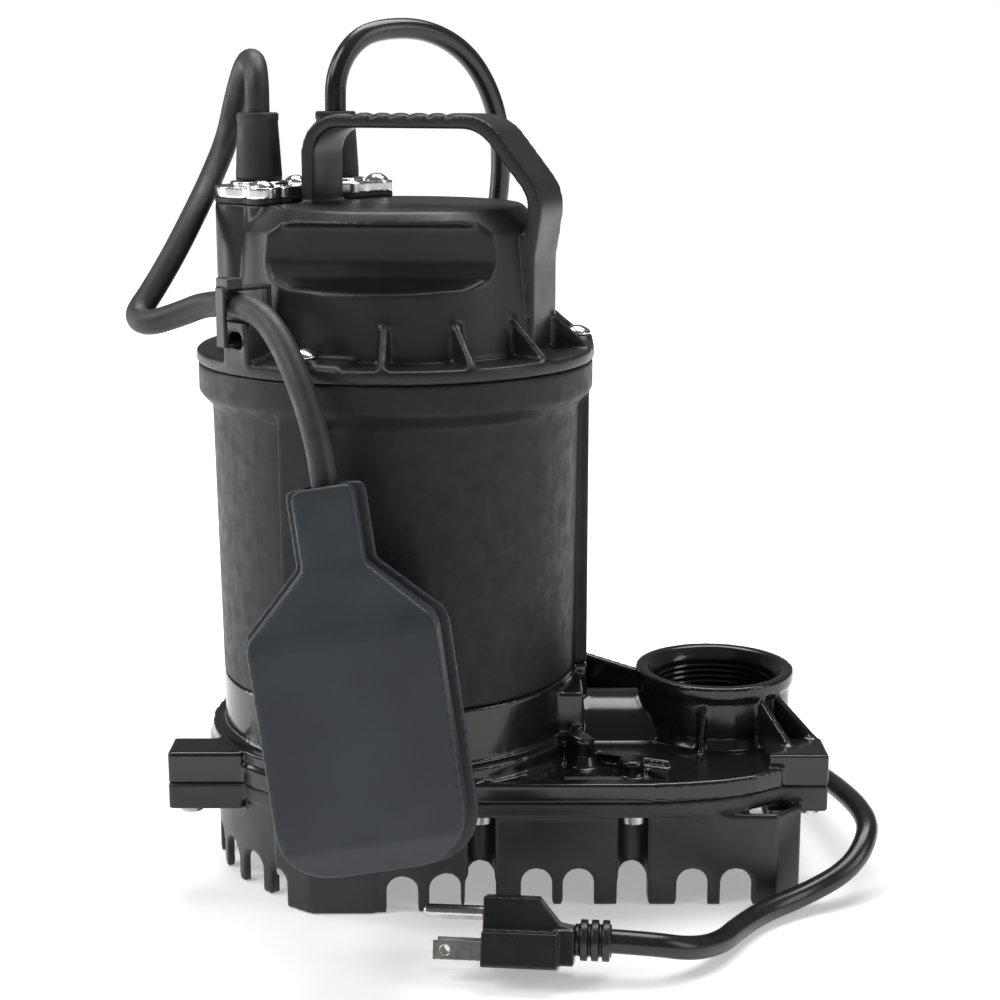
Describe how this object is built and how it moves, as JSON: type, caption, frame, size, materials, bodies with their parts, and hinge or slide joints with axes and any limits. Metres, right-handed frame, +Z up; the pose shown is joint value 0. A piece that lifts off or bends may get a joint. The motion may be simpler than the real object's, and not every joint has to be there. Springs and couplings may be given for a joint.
{
  "type": "submersible sump pump with tethered float switch",
  "caption": "Submersible sump pump with round motor housing, strainer base, top carrying handle, vertical threaded outlet, tethered float switch and mains cord with plug.",
  "frame": {"origin": "on the floor under the middle of the pump's box, measured without the cords, their coil and the plug", "axes": "+Z up; +X from the motor's axis towards the outlet; the float switch hangs on the -Y side"},
  "size_m": [0.2711, 0.3367, 0.3106],
  "materials": {
    "gloss_black": "glossy black glass-filled plastic",
    "matte_black": "matte textured black plastic",
    "cap_black": "satin moulded black plastic",
    "label_film": "blank printed film",
    "chromed": "bright plated steel",
    "steel": "stainless steel",
    "seal_rubber": "black nitrile rubber",
    "cord_rubber": "black cord jacket",
    "float_plastic": "matte blue-grey float shell",
    "plug_plastic": "moulded vinyl",
    "nickel": "nickel-plated brass",
    "brass": "plain brass",
    "bronze": "sintered bronze",
    "laminations": "stacked electrical steel",
    "copper_wire": "varnished copper",
    "ceramic_face": "lapped ceramic",
    "carbon": "carbon and rubber",
    "impeller_plastic": "glass-filled plastic",
    "die_cast": "die-cast aluminium",
    "capacitor_case": "smooth case",
    "lead_insulation": "wire insulation",
    "micro_case": "phenolic"
  },
  "bodies": {
    "pump": {"strainer_base": "gloss_black", "volute": "gloss_black", "base_screws": "steel", "volute_bolts": "steel", "volute_seal_ring": "seal_rubber", "rating_label": "label_film", "motor_housing": "matte_black", "cap_seal_ring": "seal_rubber", "motor_cap": "cap_black", "cap_screws": "chromed", "cable_tie": "gloss_black", "float_gland_gasket": "seal_rubber", "float_gland_plate": "chromed", "float_cord_boot": "seal_rubber", "power_gland_gasket": "seal_rubber", "power_gland_plate": "chromed", "power_cord_boot": "seal_rubber", "gland_screws": "chromed", "seal_seat": "ceramic_face", "bearing_outer_race": "steel", "upper_sleeve_bearing": "bronze", "stator_core": "laminations", "stator_windings": "copper_wire", "thermal_protector": "micro_case", "upper_end_bell": "die_cast", "run_capacitor": "capacitor_case", "capacitor_clamp": "steel", "lead_wires": "lead_insulation", "wire_connectors": "brass", "power_cord": "cord_rubber", "power_cord_coil": "cord_rubber", "power_cord_tail": "cord_rubber", "float_cord": "cord_rubber", "plug_strain_relief": "plug_plastic", "plug_body": "plug_plastic", "plug_blades": "nickel", "plug_ground_pin": "nickel"},
    "rotor": {"motor_shaft": "steel", "rotor_core": "laminations", "impeller": "impeller_plastic", "impeller_nut": "brass", "seal_spring": "steel", "seal_head": "carbon", "bearing_inner_race": "steel"},
    "cage": {"bearing_cage": "steel"},
    "float": {"float_shell_front": "float_plastic", "float_shell_rear": "float_plastic", "switch_ball_tube": "micro_case", "microswitch": "micro_case", "float_tether": "cord_rubber"},
    "ball": {"switch_ball": "steel"},
    "lever": {"microswitch_lever": "steel"}
  },
  "joints": [
    {"name": "rotor_spin", "type": "hinge", "parent": "pump", "child": "rotor", "pos_m": [-0.0355, 0.0295, 0.1], "axis": [0, 0, 1], "continuous": true},
    {"name": "bearing_cage_spin", "type": "hinge", "parent": "pump", "child": "cage", "pos_m": [-0.0355, 0.0295, 0.0855], "axis": [0, 0, 1], "continuous": true},
    {"name": "float_swing", "type": "hinge", "parent": "pump", "child": "float", "pos_m": [-0.0875, -0.0205, 0.213], "axis": [-0.7021, 0.7121, 0], "range_deg": [0, 120]},
    {"name": "ball_slide", "type": "slide", "parent": "float", "child": "ball", "axis": [-0.1484, 0.1562, 0.9765], "range_m": [0, 0.034]},
    {"name": "lever_tilt", "type": "hinge", "parent": "float", "child": "lever", "pos_m": [-0.05568, -0.06862, 0.10687], "axis": [-0.0235, -0.9877, 0.1545], "range_deg": [0, 6]}
  ],
  "couplings": [
    {"joint": "bearing_cage_spin", "follows": "rotor_spin", "ratio": 0.4},
    {"joint": "lever_tilt", "follows": "ball_slide", "rad_per_m": 3}
  ]
}
